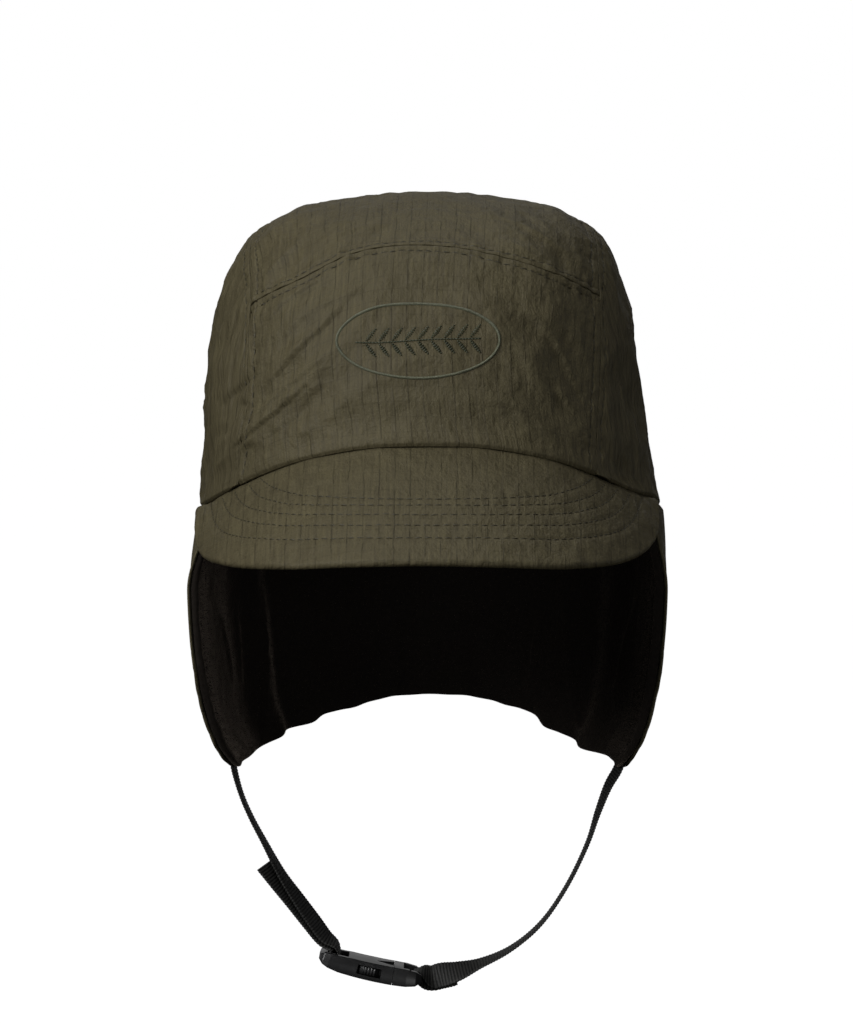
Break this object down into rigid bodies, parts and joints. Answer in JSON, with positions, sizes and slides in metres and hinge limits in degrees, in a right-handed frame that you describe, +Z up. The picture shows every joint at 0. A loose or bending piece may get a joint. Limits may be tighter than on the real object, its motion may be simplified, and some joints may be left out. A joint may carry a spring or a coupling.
{
  "type": "earflap cap",
  "caption": "Cloth cap with a curved peak, a fleece-lined earflap that runs round the nape from ear to ear, and a webbing chin strap closed by a side-release buckle.",
  "frame": {"origin": "the middle of the head opening, at the level of the ears' top, where the cap sits on the head", "axes": "+Z up out of the crown, the peak points along -Y, +X is the right of the front view"},
  "size_m": [0.1738, 0.2571, 0.2934],
  "materials": {
    "olive_ripstop": "woven nylon ripstop, dark olive, faint sheen",
    "black_fleece": "short brushed fleece, black",
    "black_webbing": "ribbed narrow webbing, black",
    "black_nylon": "moulded nylon, black, fine satin"
  },
  "bodies": {
    "root": {"crown_front_panel": "olive_ripstop", "crown_top_panel": "olive_ripstop", "crown_left_side_panel": "olive_ripstop", "crown_right_side_panel": "olive_ripstop", "peak": "olive_ripstop", "earflap_shell": "olive_ripstop", "earflap_lining": "black_fleece", "chin_strap_left": "black_webbing", "chin_strap_right": "black_webbing", "buckle_socket": "black_nylon", "buckle_plug": "black_nylon"}
  },
  "joints": []
}
